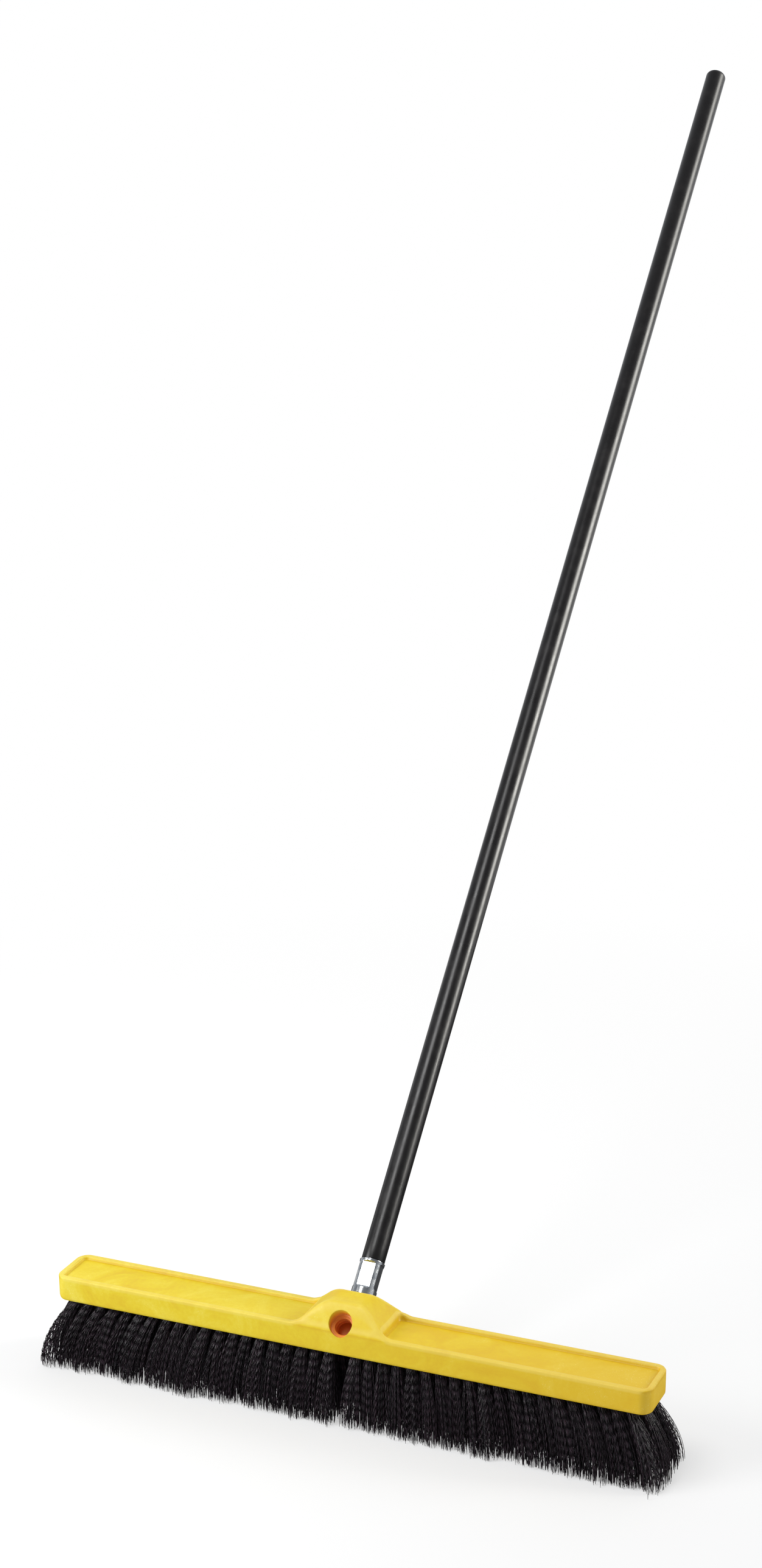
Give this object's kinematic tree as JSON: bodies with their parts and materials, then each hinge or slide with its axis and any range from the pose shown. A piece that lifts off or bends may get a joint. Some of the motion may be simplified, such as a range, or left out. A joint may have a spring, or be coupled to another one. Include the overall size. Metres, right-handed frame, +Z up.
{
  "type": "push broom",
  "caption": "Wide push broom: a moulded plastic block with two threaded sockets, a wooden pole screwed in by its metal tip, and splayed bristle tufts.",
  "frame": {"origin": "middle of the sweeping face, where the bristle ends meet the floor", "axes": "+Z up, +X along the block, -Y towards the side of the empty socket; the pole leans back towards +Y"},
  "size_m": [0.6344, 1.1315, 1.206],
  "materials": {
    "yellow_plastic": "satin",
    "zinc_steel": "polished",
    "black_lacquer": "satin",
    "black_fibre": "satin"
  },
  "bodies": {
    "root": {"block": "yellow_plastic", "tuft_row_1_left_inner": "black_fibre", "tuft_row_1_left_outer": "black_fibre", "tuft_row_1_right_inner": "black_fibre", "tuft_row_1_right_outer": "black_fibre", "tuft_row_2_left_inner": "black_fibre", "tuft_row_2_left_outer": "black_fibre", "tuft_row_2_right_inner": "black_fibre", "tuft_row_2_right_outer": "black_fibre", "tuft_row_3_left_inner": "black_fibre", "tuft_row_3_left_outer": "black_fibre", "tuft_row_3_right_inner": "black_fibre", "tuft_row_3_right_outer": "black_fibre", "tuft_row_4_left_inner": "black_fibre", "tuft_row_4_left_outer": "black_fibre", "tuft_row_4_right_inner": "black_fibre", "tuft_row_4_right_outer": "black_fibre", "tuft_row_5_left_inner": "black_fibre", "tuft_row_5_left_outer": "black_fibre", "tuft_row_5_right_inner": "black_fibre", "tuft_row_5_right_outer": "black_fibre"},
    "handle": {"pole": "black_lacquer"},
    "tip": {"metal_tip": "zinc_steel"}
  },
  "joints": [
    {"name": "handle_travel", "type": "slide", "parent": "root", "child": "handle", "axis": [0, 0.6959, 0.7181], "range_m": [0, 0.01524]},
    {"name": "handle_unscrew", "type": "hinge", "parent": "handle", "child": "tip", "pos_m": [0, 0, 0.0772], "axis": [0, 0.6959, 0.7181], "range_deg": [0, 1080]}
  ],
  "couplings": [
    {"joint": "handle_unscrew", "follows": "handle_travel", "rad_per_m": 1236.8}
  ]
}
